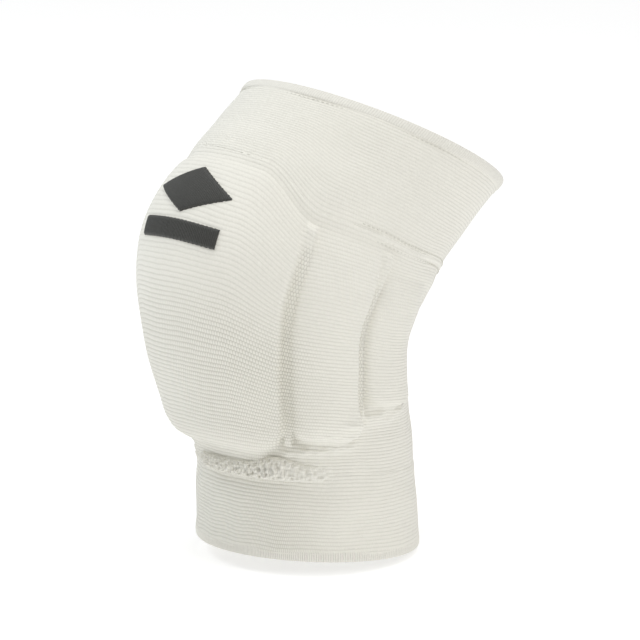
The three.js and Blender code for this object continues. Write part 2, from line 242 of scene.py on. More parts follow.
def foam_height(pad, row, column):
    around = round_leg(pad, column)
    height = pad["thick"] * edge_share(pad["front"], (around - pad["from"]) * PAD_RADIUS)
    height = height * edge_share(pad["back"], (pad["to"] - around) * PAD_RADIUS)
    height = height * edge_share(pad["low"], (row - pad["rows"][0]) * ROW_HEIGHT)
    return height * taper_share(pad["high"], (pad["rows"][1] - row) * ROW_HEIGHT)


def lies_on(pad, row, column):
    around = round_leg(pad, column)
    in_rows = (row >= pad["rows"][0]) & (row <= pad["rows"][1])
    return (around >= pad["from"]) & (around <= pad["to"]) & in_rows


def round_corners(pad, row, column):
    """1 on the pad, falling to 0 outside its rounded lower corners."""
    around = round_leg(pad, column)
    inside = np.minimum(around - pad["from"], pad["to"] - around) * PAD_RADIUS
    sideways = pad["corner"] - np.clip(inside, 0, pad["corner"])
    down = pad["corner"] - np.clip((row - pad["rows"][0]) * ROW_HEIGHT, 0, pad["corner"])
    return 1 - ease(np.hypot(sideways, down), pad["corner"] - pad["fade"] / 2, pad["corner"] + CORNER_EDGE)


borders = [round(math.degrees(pad["to"]), 1) for pad in (KNEECAP_PAD, SIDE_PAD, REAR_PAD)]
print("pad borders round the leg, degrees:", borders)

# %% Uneven lumps, the same on every run
LUMP_WAVES, LUMP_SUM = 22, 5.5
RUFFLE_WAVES, RUFFLE_SUM = 9, 3.6


def uneven(column, along, size, seed, stretch=1.0):
    """Between about -1 and 1: soft lumps of one size in millimetres, which meet again all round the leg."""
    chance = np.random.default_rng(seed)
    total = np.zeros(np.broadcast(column, along).shape)
    for _ in range(LUMP_WAVES):
        slant = chance.uniform(0, TURN)
        waves = round(PAD_RADIUS * TURN / size * math.cos(slant))
        rate = TURN / (size * stretch) * math.sin(slant)
        total += np.cos(waves * column + rate * along + chance.uniform(0, TURN))
    return total / LUMP_SUM


def ruffles(column, size, seed):
    """Uneven waves round the leg only, for gathers and puckers."""
    chance = np.random.default_rng(seed)
    total = np.zeros(np.shape(column))
    for _ in range(RUFFLE_WAVES):
        waves = round(PAD_RADIUS * TURN / (size * chance.uniform(0.75, 1.4)))
        total += np.cos(waves * column + chance.uniform(0, TURN)) * chance.uniform(0.6, 1.2)
    return total / RUFFLE_SUM


# %% The table of heights over the knee panel
TABLE_ROWS, TABLE_COLUMNS = 477, 1440
row_line = np.linspace(0, KNEE_ROWS, TABLE_ROWS)
column_line = np.linspace(-math.pi, math.pi, TABLE_COLUMNS, endpoint=False)
rows, columns = np.meshgrid(row_line, column_line, indexing="ij")
sides = np.abs(columns)
FOLD_HEIGHT, FOLDS_REACH, FOLDS_FADE = 1.7, 78, 30
# share of the way up the panel, half width and share of the height
FOLDS = ((0.3, 0.11, 0.6), (0.56, 0.14, 1))
# the pad in front, the pad behind and the height of the knit between them
GROOVES = ((KNEECAP_PAD, SIDE_PAD, 5.1), (SIDE_PAD, REAR_PAD, 4.3))
GROOVE_TOP = 17.4


def hump(value, centre, reach):
    """1 at the centre, falling softly to 0 on both sides."""
    return np.exp(-(((value - centre) / reach) ** 2))


def between(value, low, high, soft):
    """1 from low to high, with soft ends."""
    return ease(value, low - soft, low + soft) * (1 - ease(value, high - soft, high + soft))


# behind the knee the bend presses the knit into two soft folds
behind = (math.pi - sides) * PAD_RADIUS
folds = 0
for middle, half_width, rise in FOLDS:
    off = np.minimum(1, np.abs(rows / KNEE_ROWS - middle) / half_width)
    folds = folds + rise * (0.5 + 0.5 * np.cos(off * math.pi))
heights = FOLD_HEIGHT * folds * ease(FOLDS_REACH - behind, 0, FOLDS_FADE)
# a groove is deepest close behind the pad in front of it, and rises from there to the next pad
for front, back, floor_height in GROOVES:
    low = back["rows"][0]
    share = np.clip((sides - front["to"]) / (back["from"] - front["to"]), 0, 1)
    inside = (sides >= front["to"]) & (sides <= back["from"]) & (rows > low - 0.4) & (rows < GROOVE_TOP)
    risen = 0.1 * back["thick"] * share**2 * ease(rows, low - 0.4, low + 1.5)
    heights = np.where(inside, floor_height + risen, heights)
for pad in (REAR_PAD, SIDE_PAD, KNEECAP_PAD):
    foam_here = foam_height(pad, rows, columns) + GAP
    lip = hump(sides, pad["to"] - 0.01, 0.045) * between(rows, pad["rows"][0] + 0.7, 14.5, 1.5)
    foam_here += pad["lip"] * lip
    foam_here = np.maximum(foam_here * round_corners(pad, rows, columns), heights)
    heights = np.where(lies_on(pad, rows, columns), foam_here, heights)
# below the kneecap pad the knit slopes in to the seam
PAD_EDGE = KNEECAP_PAD["rows"][0]
edge_rows = np.maximum(rows, PAD_EDGE)
below = foam_height(KNEECAP_PAD, edge_rows, columns) * round_corners(KNEECAP_PAD, edge_rows, columns)
below = below * (0.25 + 0.75 * ease(rows, -0.3, PAD_EDGE)) * (sides <= KNEECAP_PAD["to"])
heights = np.where(rows < PAD_EDGE, np.maximum(heights, below), heights)
in_groove = (column_line > KNEECAP_PAD["to"]) & (column_line < SIDE_PAD["from"])
lowest = heights[TABLE_ROWS // 2, in_groove].min()
print("groove behind the kneecap pad, half way up:", round(float(lowest), 1), "mm high")

# %% Round the table off, and crease it
# the table's steps and how far it is rounded off, in millimetres
ROW_STEP, COLUMN_STEP = 0.25, PAD_RADIUS * TURN / TABLE_COLUMNS
ROUNDED_UP, ROUNDED_ACROSS = 1.1, 0.5


def blurred(values, millimetres, axis, step):
    """A table rounded off across its rows (axis 0) or along them (axis 1), where they close in a ring."""
    reach = int(3 * millimetres / step) + 1
    weights = np.exp(-0.5 * (np.arange(-reach, reach + 1) * step / millimetres) ** 2)
    weights /= weights.sum()
    if axis == 0:
        values = np.pad(values, ((reach, reach), (0, 0)), mode="edge")
        return sum(w * values[k : len(values) - 2 * reach + k] for k, w in enumerate(weights))
    return sum(w * np.roll(values, k - reach, 1) for k, w in enumerate(weights))


def above_line(along, around, low, climb, start):
    """How far a place is above a slanting line, which is at low where it starts."""
    return along - low - climb * (around - start)


heights = blurred(heights, ROUNDED_UP, 0, ROW_STEP)
heights = blurred(heights, ROUNDED_ACROSS, 1, COLUMN_STEP)
# below the side and rear pads the knit is drawn in along a crease and puffs out under it
along_leg = PANEL_LOW + rows * ROW_HEIGHT
side_crease = above_line(along_leg, sides, low=60.3, climb=8, start=0.88)
rear_crease = above_line(along_leg, sides, low=82, climb=9, start=1.39)
drawn_side = 1.1 * hump(side_crease, 0, 1.6) * between(sides, 0.9, 1.22, 0.08)
drawn_rear = 0.15 * hump(rear_crease, 0, 2) * between(sides, 1.38, 2.0, 0.08)
heights -= drawn_side + drawn_rear
crumple = np.clip(uneven(columns, along_leg, 8, 41) + 0.4 * uneven(columns, along_leg, 5, 42), -0.7, 1.4)
crumbs = uneven(columns, along_leg, 4, 43)
heights += 1.9 * hump(side_crease, -5.6, 2.9) * between(sides, 0.86, 1.45, 0.1) * (1 + 0.6 * crumple)
heights += hump(side_crease, 0.5, 3) * between(sides, 1.2, 1.45, 0.08) * (0.5 + 0.7 * crumbs)
heights += (2.6 + 0.9 * crumple) * hump(rear_crease, -8, 5) * between(sides, 1.45, 2.1, 0.16)
# between the side pad's lower corner and the rear pad the slack knit bunches up in soft puffs
bunched = np.clip(uneven(columns, along_leg, 7, 44) + 0.5 * uneven(columns, along_leg, 4.2, 45), -0.6, 1.6)
heights += (1.1 + 1.1 * bunched) * hump(side_crease, 9.5, 6) * hump(sides, 1.47, 0.12)
heights += 1.0 * hump(rows, 16.6, 0.9) * between(sides, 1.55, 2.4, 0.2)
# a soft ridge where the side pads' upper ends lift the upper seam
heights += 0.8 * ease(rows, 17.2, 18) * between(sides, 0.72, 1.4, 0.12)
print("highest knit over the foam:", round(float(heights.max()), 1), "mm")


def panel_height(share, column):
    """The table's height at a share of the way up the panel, and at a column."""
    row = np.clip(share, 0, 1) * (TABLE_ROWS - 1)
    col = np.mod(column + math.pi, TURN) / TURN * TABLE_COLUMNS
    r0, c0 = np.minimum(row.astype(int), TABLE_ROWS - 2), col.astype(int) % TABLE_COLUMNS
    r, c, c1 = row - r0, col - col.astype(int), (c0 + 1) % TABLE_COLUMNS
    low = heights[r0, c0] * (1 - c) + heights[r0, c1] * c
    high = heights[r0 + 1, c0] * (1 - c) + heights[r0 + 1, c1] * c
    return low * (1 - r) + high * r


# %% [markdown]
# ## A knitted ring
# A knitted band has an outside, an inside and two edges. It could be two tubes joined at their edges, but a
# flat grid does it in one piece, as a knitter would: it is rolled round the leg, its lower part is turned
# up inside, and the borders that meet are merged. Each point of the grid is moved to its place on the leg.
# The UV map keeps the flat grid's millimetres round the leg and along it, for the pattern of the knit. Each
# point also keeps how tight the knit is there, and whether it is stretched over a groove.

# %% Small tools for grids
GRID_SIZE = 0.1
SAME_POINT = 0.000001
UV_TILE = 100


def new_object(name, data):
    thing = bpy.data.objects.new(name, data)
    bpy.context.scene.collection.objects.link(thing)
    return thing


def alone(piece):
    bpy.ops.object.select_all(action="DESELECT")
    piece.select_set(True)
    bpy.context.view_layer.objects.active = piece


def write_places(piece, places):
    piece.data.vertices.foreach_set("co", (places.reshape(-1, 3) * MM).astype(np.float32).ravel())
    piece.data.update()


def change_all(change, **how):
    bpy.ops.object.mode_set(mode="EDIT")
    bpy.ops.mesh.select_all(action="SELECT")
    change(**how)
    bpy.ops.object.mode_set(mode="OBJECT")


def points_of(piece):
    points = np.empty(len(piece.data.vertices) * 3)
    piece.data.vertices.foreach_get("co", points)
    return points.reshape(-1, 3)


def signed_volume(piece):
    """More than 0 if the faces of a closed piece face outwards."""
    mesh = piece.data
    mesh.calc_loop_triangles()
    corners = np.empty(len(mesh.loop_triangles) * 3, int)
    mesh.loop_triangles.foreach_get("vertices", corners)
    a, b, c = points_of(piece)[corners.reshape(-1, 3)].transpose(1, 0, 2)
    return float((a * np.cross(b, c)).sum() / 6)


def face_outwards(piece):
    if signed_volume(piece) < 0:
        alone(piece)
        change_all(bpy.ops.mesh.flip_normals)


def new_grid(name, across, up, size=GRID_SIZE):
    bpy.ops.object.select_all(action="DESELECT")
    bpy.ops.mesh.primitive_grid_add(x_subdivisions=across, y_subdivisions=up, size=size)
    piece = bpy.context.active_object
    piece.name = piece.data.name = name
    return piece


def close_borders(piece):
    alone(piece)
    change_all(bpy.ops.mesh.remove_doubles, threshold=SAME_POINT)
    face_outwards(piece)
    bpy.ops.object.shade_smooth()


def grid_places(piece, count, rings):
    """Which column and which ring each point of a new grid belongs to."""
    flat = points_of(piece)
    column = np.rint((flat[:, 0] / GRID_SIZE + 0.5) * (count - 1)).astype(int)
    ring = np.rint((flat[:, 1] / GRID_SIZE + 0.5) * (rings - 1)).astype(int)
    return column, ring


def map_knit(piece, around, along):
    """Millimetres round the leg and along it, a hundred to one UV tile."""
    mesh = piece.data
    corner = np.empty(len(mesh.loops), int)
    mesh.loops.foreach_get("vertex_index", corner)
    uv = mesh.uv_layers[0]
    uv.name = "knit"
    tiles = np.stack([around[corner], along[corner]], -1) / UV_TILE
    uv.data.foreach_set("uv", tiles.astype(np.float32).ravel())


def mark_points(piece, name, values):
    data = piece.data.attributes.new(name, "FLOAT", "POINT")
    data.data.foreach_set("value", values.astype(np.float32))


# %% Rings round the leg
def tension(column, along):
    """1 where the knit is stretched most, over the front, less at the sides and round the thigh."""
    return (1 - 0.65 * ease(from_front(column), 0.85, 1.5)) * (1 - 0.85 * ease(along, 104, 142))


def ring_of_knit(name, columns, places, along, stretched=None):
    """The places are a grid, column by column, of points round the ring's own thickness."""
    around = np.append(columns, columns[0] + TURN) * PAD_RADIUS
    along = np.append(along, along[-1] + abs(along[-1] - along[-2]))
    angle = (around / PAD_RADIUS)[:, None]
    strayed = along[None] + wobble(angle, along[None])
    places = np.concatenate([places, places[:1]], 0)
    places = np.concatenate([places, places[:, :1]], 1)
    count, rings = places.shape[:2]
    piece = new_grid(name, count - 1, rings - 1)
    column, ring = grid_places(piece, count, rings)
    map_knit(piece, around[column], strayed[column, ring])
    write_places(piece, places[column, ring])
    mark_points(piece, "tension", tension(angle, along[None])[column, ring])
    if stretched is not None:
        mark_points(piece, "stretched", stretched[column % len(stretched), ring % stretched.shape[1]])
    close_borders(piece)
    return piece


def lifted(places, relief):
    """Moves a grid of places out along its own slope by a relief in millimetres."""
    across = np.roll(places, -1, 0) - np.roll(places, 1, 0)
    along = np.gradient(places, axis=1)
    normal = np.cross(across, along)
    normal /= np.linalg.norm(normal, axis=-1, keepdims=True) + 1e-12
    middle = places.mean(0, keepdims=True)
    if (normal * (places - middle)).sum() < 0:
        normal = -normal
    return places + normal * relief[..., None]


# %% [markdown]
# ## Courses of the knit
# Close up, the sleeve is a rib of fine ridges that run round the leg, one for each course of the knit. They
# catch the light, so they are real relief here and not only a bump. The finer loops within a course are
# left to the material.

# %% The knit's courses
COURSE = 1.85
ROWS_PER_COURSE = 5


def course_relief(along, depth):
    return depth * (np.abs(np.cos(math.pi * along / COURSE)) ** 0.8 - 0.5)


def wobble(column, along):
    """How far a course strays from its line, in millimetres."""
    return 0.3 * uneven(column, along, 34, 51) + 0.08 * uneven(column, along, 9, 52)


SPREAD_STEPS = 4000


def knit_columns(fine, coarse, fine_places):
    """Columns round the leg, closer together near the places that need them."""
    grid = np.linspace(-math.pi, math.pi, SPREAD_STEPS, endpoint=False)
    near = np.zeros_like(grid)
    for place, reach, share in fine_places:
        near = np.maximum(near, share * np.exp(-(((np.abs(grid) - place) * PAD_RADIUS / reach) ** 4)))
    # behind the knee the form is plain, so the columns stand further apart there
    density = 1 / ((coarse + (fine - coarse) * near) * (1 + 0.5 * ease(np.abs(grid), 2.2, 2.6)))
    total = np.cumsum(density) * (grid[1] - grid[0]) * PAD_RADIUS
    count = int(total[-1])
    return np.interp(np.arange(count) / count * total[-1], total, grid)


def columns_every(spacing):
    return np.linspace(-math.pi, math.pi, int(TURN * PAD_RADIUS / spacing), endpoint=False)


def rows_for(low, high):
    return np.linspace(low, high, int((high - low) / COURSE * ROWS_PER_COURSE) + 1)


# %% [markdown]
# ## The knee panel
# The panel follows the table of heights. Its courses stand out where it is tight and lie flatter where it
# is slack. Its columns are closest together over the grooves, where the form is sharpest.

# %% Make the knee panel
SEAM_MIDDLE = 2.1
PANEL_LENGTH = float(upper_seam_at(0)) - GAP - PANEL_LOW
TUCK = 4.3
INSIDE_ROWS = 44


def over_grooves(share, column):
    """1 where the knit is stretched over a groove between two pads."""
    row, around = share * KNEE_ROWS, np.abs(column)
    fronts = [pad["to"] for pad in (KNEECAP_PAD, SIDE_PAD)]
    first, second = (between(around, front + 0.01, front + 0.1, 0.02) for front in fronts)
    return np.clip(first * between(row, 1.4, 16.2, 0.5) + second * between(row, 4.8, 15, 0.5), 0, 1)


def make_knee_panel():
    grooves = [pad["to"] + GROOVE / 2 for pad in (KNEECAP_PAD, SIDE_PAD)]
    columns = knit_columns(0.6, 2.6, [(grooves[0], 6, 1), (grooves[1], 6, 1), (1.14, 13, 0.5)])
    # the rows run a little past both borders, so that the edges are tucked under the seams
    along = rows_for(-TUCK, PANEL_LENGTH + SEAM_MIDDLE + 5 * GAP)
    past = np.clip(along - PANEL_LENGTH, 0, None)[None]
    share = (along[None] - past) / PANEL_LENGTH
    column = np.broadcast_to(columns[:, None], (len(columns), len(along)))
    length = upper_seam_at(columns)[:, None] - GAP - PANEL_LOW
    distance = PANEL_LOW + np.where(share < 0, share * PANEL_LENGTH, share * length) + past
    skin = panel_height(share, column) * np.cos(np.clip(-along / TUCK, 0, 1) * math.pi / 2)
    outside = on_leg(distance, column, skin + KNIT_WALL)
    even_along = PANEL_LOW + along[None]
    depth = 0.07 + 0.29 * tension(column, even_along)
    courses = course_relief(even_along + wobble(column, even_along), depth)
    lumps = 0.25 * uneven(column, along[None], 34, 3) * (np.abs(column) < 2.2)
    under_seam = 0.3 * ease(past, SEAM_MIDDLE, SEAM_MIDDLE + 2 * GAP)
    outside = lifted(outside, courses + lumps - under_seam)
    few = np.linspace(len(along) - 1, 0, INSIDE_ROWS).astype(int)
    inside = on_leg(distance[:, few], column[:, few], skin[:, few])
    stretched = np.concatenate([over_grooves(share, column), np.zeros_like(inside[..., 0])], 1)
    places = np.concatenate([outside, inside], 1)
    flat_along = np.concatenate([along, along[few]]) + PANEL_LOW
    return ring_of_knit("knee_panel_knit", columns, places, flat_along, stretched)


knee_panel = make_knee_panel()
print(knee_panel.name, len(knee_panel.data.polygons) * 2, "triangles")

# %% [markdown]
# ## The cuffs
# The cuffs are the same knit without foam under it, so they lie flat on the calf and the thigh. Next to a
# seam the knit is drawn together a little, which leaves small upright puckers.

# %% Make the cuffs
CUFF_INSIDE_ROWS = 14


def make_cuff(name, low_at, high_at, spacing, depth, pucker):
    columns = columns_every(spacing)
    length = float(np.max(high_at(columns) - low_at(columns)))
    shares = rows_for(0, length) / length
    column, share = np.meshgrid(columns, shares, indexing="ij")
    distance = low_at(column) + (high_at(column) - low_at(column)) * share
    low, high = float(low_at(columns).min()), float(high_at(columns).max())
    flat_along = low + (high - low) * shares
    strayed = flat_along[None] + wobble(column, flat_along[None])
    courses = course_relief(strayed, depth * tension(column, distance) + 0.05)
    outside = on_leg(distance, column, np.full_like(distance, KNIT_WALL))
    outside = lifted(outside, courses + pucker(column, distance))
    few = np.linspace(1, 0, CUFF_INSIDE_ROWS)
    column_in, share_in = np.meshgrid(columns, few, indexing="ij")
    distance_in = low_at(column_in) + (high_at(column_in) - low_at(column_in)) * share_in
    inside = on_leg(distance_in, column_in, 0 * column_in)
    along = np.concatenate([flat_along, low + (high - low) * few])
    return ring_of_knit(name, columns, np.concatenate([outside, inside], 1), along)


def even(value):
    return lambda column: np.full_like(np.asarray(column, float), value)


def from_seam(rise):
    return lambda column: upper_seam_at(column) + rise


def calf_pucker(column, distance):
    puckers = 0.35 * hump(distance, CALF_LENGTH, 4) * ruffles(column, 5, 11)
    lumps = 0.2 * uneven(column, distance, 28, 12)
    over_hem = 0.45 * hump(distance, HEM_HEIGHT - 1, 3)
    under_roll = 0.55 * hump(distance, CALF_LENGTH - 2, 3) * (1 - ease(np.abs(column), 0.7, 1.3))
    return puckers + lumps + over_hem - under_roll


def thigh_pucker(column, distance):
    above = distance - upper_seam_at(column) - UPPER_SEAM_HEIGHT
    around = from_front(column)
    front = hump(around, 0, 0.75)
    dimple = 0.9 * hump(above, 9, 5) * hump(around, 0.82, 0.1)
    dimple = dimple - 0.8 * (1 - ease(above, -2, 3)) * between(around, 0.72, 1.4, 0.12)
    crumbs = np.clip(ruffles(column, 2.6, 61), -0.5, 2)
    dimple = dimple - 0.55 * hump(above, 4.5, 2.2) * (1 - ease(around, 0.2, 0.34)) * crumbs
    slant = above_line(above, around, low=6, climb=18, start=0.95)
    valley = 0.5 * hump(slant, 0, 5) * between(around, 0.95, 1.45, 0.12)
    drawn_in = 0.22 * (1 - ease(above, -2, -0.4))
    puckers = 0.4 * hump(above, 0, 5) * ruffles(column, 4.5, 13) * (0.15 + 0.85 * front)
    return puckers + 0.25 * uneven(column, distance, 36, 14) - dimple - valley - drawn_in


# each cuff runs on a little under its hem and its seam
UNDER_HEM = 2.5
calf_cuff = make_cuff(
    "calf_cuff_knit", even(HEM_HEIGHT - UNDER_HEM), even(CALF_LENGTH + LOWER_SEAM_HEIGHT / 2 + 0.2),
    spacing=2.0, depth=0.33, pucker=calf_pucker,
)
thigh_cuff = make_cuff(
    "thigh_cuff_knit", from_seam(SEAM_MIDDLE), even(SLEEVE_LENGTH - HEM_HEIGHT + UNDER_HEM),
    spacing=1.5, depth=0.28, pucker=thigh_pucker,
)
for cuff in (calf_cuff, thigh_cuff):
    print(cuff.name, len(cuff.data.polygons) * 2, "triangles")

# %% [markdown]
# ## Hems and seams
# A hem is the knit's edge folded back and stitched down, so it is a plump, rounded band. The upper seam is
# the same thing in small. The lower seam gathers the front of the knit into a lumpy roll under the kneecap
# pad.

# %% Rounded bands
HEM_RIBS = 321
BAND_STEP = 0.8


def band(name, columns, low_at, high_at, wall_at, rings, squareness, relief_at):
    turn = np.arange(rings) / rings * TURN
    up = np.sign(-np.cos(turn)) * np.abs(np.cos(turn)) ** squareness
    out = np.sign(np.sin(turn)) * np.abs(np.sin(turn)) ** squareness
    column, up = np.meshgrid(columns, up, indexing="ij")
    out = np.broadcast_to(out, column.shape)
    low, high, wall = low_at(column), high_at(column), wall_at(column)
    distance = (low + high) / 2 + (high - low) / 2 * up
    height = np.maximum(wall / 2 * (1 + out), 0)
    showing = np.clip(out + 0.3, 0, 1)
    height = height + relief_at(column, distance, up) * showing
    along = (low_at(columns) + high_at(columns)).mean() / 2 + np.cumsum(np.full(rings, BAND_STEP))
    return ring_of_knit(name, columns, on_leg(distance, column, height), along)


def fine_ribs(depth):
    return lambda column, distance, up: depth * (np.abs(np.sin(HEM_RIBS * column / 2)) ** 0.8 - 0.6)


# %% Make the hems and the upper seam
def upper_seam_wall(column):
    return 1.7 + 0.85 * ease(from_front(column), 1.15, 1.4)


def seam_puckers(column, distance, up):
    return 0.14 * ruffles(column, 3.2, 21)


calf_hem = band(
    "calf_hem_knit", columns_every(0.3), even(0), even(HEM_HEIGHT), even(2.85),
    rings=18, squareness=0.85, relief_at=fine_ribs(0.32),
)
thigh_hem = band(
    "thigh_hem_knit", columns_every(0.4), even(SLEEVE_LENGTH - HEM_HEIGHT), even(SLEEVE_LENGTH), even(3.0),
    rings=18, squareness=0.8, relief_at=fine_ribs(0.1),
)
upper_seam = band(
    "upper_seam_knit", columns_every(0.6), upper_seam_at, from_seam(UPPER_SEAM_HEIGHT), upper_seam_wall,
    rings=16, squareness=0.8, relief_at=seam_puckers,
)
print([(piece.name, len(piece.data.polygons) * 2) for piece in (calf_hem, thigh_hem, upper_seam)])

# %% Make the gathered lower seam
GATHER = math.radians(76)


def gather_share(column):
    """1 at the front, falling to 0 at the sides; on one side the roll is thinner."""
    around = np.mod(column + math.pi, TURN) - math.pi
    return (1 - ease(np.abs(around), 0.5 * GATHER, 1.08 * GATHER)) * (1 - 0.75 * ease(-around, 0.15, 0.6))


def gather_top(column):
    return CALF_LENGTH + LOWER_SEAM_HEIGHT + 0.6 + 3.5 * hump(from_front(column), 0.82, 0.2)


def lower_seam_wall(column):
    return KNIT_WALL - 0.6 + 5.4 * gather_share(column)


def gathers(column, distance, up):
    lumps = 0.6 * ruffles(column + 0.05 * up, 5, 31) + 0.9 * uneven(column, distance, 4.2, 32, 0.8)
    crumbs = 0.95 * uneven(column, distance, 2.4, 34)
    return np.sqrt(gather_share(column)) * (lumps + crumbs) * (1 - 0.6 * up**4)


lower_seam = band(
    "lower_seam_knit", columns_every(0.5), even(CALF_LENGTH), gather_top, lower_seam_wall,
    rings=44, squareness=0.8, relief_at=gathers,
)
print(lower_seam.name, len(lower_seam.data.polygons) * 2, "triangles")

# %% [markdown]
# ## Foam pads
# The pads are cut from soft foam, flat on the leg's side and rounded on the other. The knit is drawn over
# them, so a pad's outer face is the knit's inner face. A grid is folded in two like a pillowcase: one half
# becomes the outer face, the other the flat one, and the borders that meet are merged.

# %% Make the foam pads
PAD_GRID = (90, 120)
PAD_EDGE_ROUND, THINNEST = 1.5, 0.4


def foam_pad(name, pad, side):
    across, up = PAD_GRID
    piece = new_grid(name, across, 2 * up)
    column, ring = grid_places(piece, across + 1, 2 * up + 1)
    x, y = column / across, 1 - np.abs(ring / up - 1)
    # the points crowd towards the borders, where the form is roundest
    x, y = (1 - np.cos(math.pi * x)) / 2, (1 - np.cos(math.pi * y)) / 2
    around = side * (pad["from"] + (pad["to"] - pad["from"]) * x)
    low, high = pad["rows"]
    row = low + (high - low) * y
    from_sides = np.minimum(x, 1 - x) * pad["width"]
    from_ends = np.minimum(y, 1 - y) * (high - low) * ROW_HEIGHT
    rounding = np.sqrt(np.clip(np.minimum(from_sides, from_ends) / PAD_EDGE_ROUND, 0, 1))
    share = row / KNEE_ROWS
    outer = np.maximum(panel_height(share, around) - GAP, THINNEST) * rounding
    distance = PANEL_LOW + (upper_seam_at(around) - GAP - PANEL_LOW) * share
    write_places(piece, on_leg(distance, around, np.where(ring <= up, outer, 0)))
    close_borders(piece)
    return piece


def middle_across(body):
    return round(float(np.mean([(body.matrix_world @ corner.co).x for corner in body.data.vertices])) * 1000)


pads = {
    "kneecap_pad": foam_pad("kneecap_pad_foam", KNEECAP_PAD, 1),
    "left_side_pad": foam_pad("left_side_pad_foam", SIDE_PAD, 1),
    "right_side_pad": foam_pad("right_side_pad_foam", SIDE_PAD, -1),
    "left_rear_pad": foam_pad("left_rear_pad_foam", REAR_PAD, 1),
    "right_rear_pad": foam_pad("right_rear_pad_foam", REAR_PAD, -1),
}
for node, piece in pads.items():
    middles = [middle_across(body) for body in (piece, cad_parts[node])]
    print(node, "middle from side to side, soft and plain:", middles, "mm")

# %% [markdown]
# ## The embroidered mark
# The mark on the front is a diamond above a bar, stitched in satin thread. A machine lays the threads side
# by side across the shape, so each one is a small round ridge. A grid is laid on the knit and its points
# are lifted thread by thread.

# %% Make the mark
THREAD = 0.85
MARK_GRID, MARK_FACES = 0.05, (420, 22)
BACKING = 0.0006
MARK_TOP, MARK_HALF_WIDTH = PANEL_LENGTH - 9, 23
DIAMOND_HEIGHT, BAR_HEIGHT, MARK_SPACE = 17, 7, 3


def mark(name, top, height, half_width, share_at):
    """Each line of points across the height is one crest or hollow of the threads."""
    piece = new_grid(name, *MARK_FACES, MARK_GRID)
    flat = points_of(piece)
    x, y = flat[:, 0] / (MARK_GRID / 2), flat[:, 1] / (MARK_GRID / 2)
    # no two threads turn back at quite the same place, so the border is slightly ragged
    ragged = 0.09 * np.sin(TURN * np.floor(x * half_width / THREAD) * 0.381)
    half_height = np.maximum(height / 2 * share_at(x) + ragged, 0.3)
    column = x * half_width / PAD_RADIUS
    share = (top - height / 2 + y * half_height) / PANEL_LENGTH
    distance = PANEL_LOW + (upper_seam_at(column) - GAP - PANEL_LOW) * share
    edge = np.clip(np.minimum((1 - np.abs(x)) * half_width, (1 - np.abs(y)) * half_height) / 0.8, 0, 1)
    threads = np.abs(np.sin(math.pi * x * half_width / THREAD)) ** 0.7
    lift = 0.2 + 0.7 * np.sqrt(edge) + 0.34 * threads * np.sqrt(edge)
    write_places(piece, on_leg(distance, column, panel_height(share, column) + KNIT_WALL + lift))
    alone(piece)
    backing = piece.modifiers.new("backing", "SOLIDIFY")
    backing.thickness, backing.offset = BACKING, -1
    bpy.ops.object.modifier_apply(modifier="backing")
    face_outwards(piece)
    bpy.ops.object.shade_smooth()
    return piece


def diamond_share(x):
    return 1.04 - np.abs(x)


diamond = mark("front_diamond_thread", MARK_TOP, DIAMOND_HEIGHT, MARK_HALF_WIDTH, diamond_share)
bar_top = MARK_TOP - DIAMOND_HEIGHT - MARK_SPACE
bar = mark("front_bar_thread", bar_top, BAR_HEIGHT, MARK_HALF_WIDTH, np.ones_like)
print([(piece.name, len(piece.data.polygons) * 2) for piece in (diamond, bar)])

# %% [markdown]
# ## Rows of stitches
# The hems and the upper seam are sewn with short thread stitches. One stitch is modelled as a small rounded
# bar, copied along each line, and the copies of a line are joined.

# %% One stitch, and lines of it
STITCH_PITCH = 2.6
STEP_ROUND, STEP_UP = 0.004, 0.5
SEAM_START = 1.24


def one_stitch(length, thickness):
    bpy.ops.object.select_all(action="DESELECT")
    bpy.ops.mesh.primitive_uv_sphere_add(segments=8, ring_count=5, radius=0.5)
    stitch = bpy.context.active_object
    change_all(bpy.ops.transform.resize, value=(length * MM, thickness * MM, thickness * MM))
    bpy.ops.object.shade_smooth()
    return stitch


def stitch_line(name, distance_at, height_at, length, thickness, start=-math.pi, end=math.pi):
    stitch = one_stitch(length, thickness)
    count = round((end - start) * PAD_RADIUS / STITCH_PITCH)
    columns = start + (np.arange(count) + 0.5) / count * (end - start)
    further = columns + STEP_ROUND
    here = on_leg(distance_at(columns), columns, height_at(columns))
    ahead = on_leg(distance_at(further), further, height_at(further))
    above = on_leg(distance_at(columns) + STEP_UP, columns, height_at(columns))
    copies = []
    for place, forward, upward in zip(here, ahead - here, above - here):
        x_axis = Vector(forward).normalized()
        z_axis = x_axis.cross(Vector(upward)).normalized()
        y_axis = z_axis.cross(x_axis)
        copy = new_object(name, stitch.data.copy())
        for vertex in copy.data.vertices:
            x, y, z = vertex.co
            vertex.co = Vector(place) * MM + x_axis * x + y_axis * y + z_axis * z
        copies.append(copy)
    bpy.data.objects.remove(stitch)
    bpy.ops.object.select_all(action="DESELECT")
    for copy in copies:
        copy.select_set(True)
    bpy.context.view_layer.objects.active = copies[0]
    bpy.ops.object.join()
    line = bpy.context.active_object
    line.name = line.data.name = name
    return line


def seam_stitches(name, distance_at):
    return stitch_line(name, distance_at, even(KNIT_WALL + 0.25), 1.9, 0.6, SEAM_START, TURN - SEAM_START)


stitch_lines = [
    stitch_line("thigh_hem_stitches", even(SLEEVE_LENGTH - HEM_HEIGHT - 0.9), even(KNIT_WALL), 1.9, 0.45),
    stitch_line("calf_hem_stitches", even(HEM_HEIGHT + 1.0), even(KNIT_WALL), 1.8, 0.45),
    seam_stitches("upper_seam_lower_stitches", from_seam(-0.5)),
    seam_stitches("upper_seam_upper_stitches", from_seam(UPPER_SEAM_HEIGHT + 0.6)),
]
print([(line.name, len(line.data.polygons)) for line in stitch_lines])

